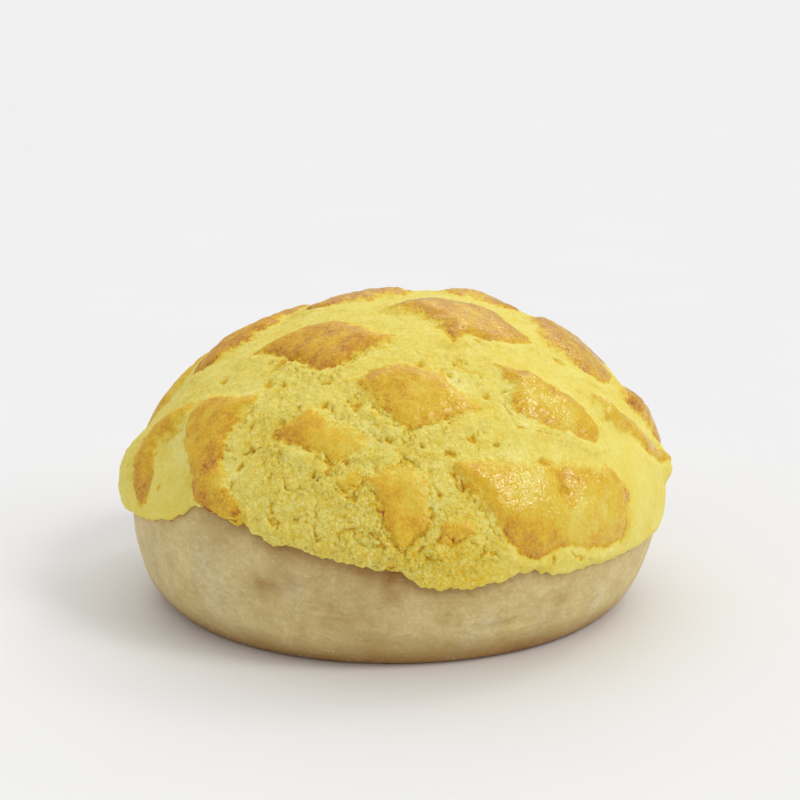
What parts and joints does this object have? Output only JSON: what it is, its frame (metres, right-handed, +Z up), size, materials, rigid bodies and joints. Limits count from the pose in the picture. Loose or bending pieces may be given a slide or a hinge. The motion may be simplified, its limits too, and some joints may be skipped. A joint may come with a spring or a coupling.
{
  "type": "pineapple bun",
  "caption": "Domed sweet bread bun under a scored, glazed and crackled yellow sugar crust that hangs over its pale side with an uneven rim.",
  "frame": {"origin": "on the flat foot, below the middle of the bun's width and depth", "axes": "+Z up through the dome; +X to the right and -Y to the front as the picture shows the bun"},
  "size_m": [0.1023, 0.1027, 0.0571],
  "materials": {
    "bread": "soft pale bread skin, matte, with tiny pores",
    "crust": "crumbly yellow sugar crust, with amber egg glaze on its raised pads"
  },
  "bodies": {
    "root": {"bread_body": "bread", "sugar_crust": "crust"}
  },
  "joints": []
}
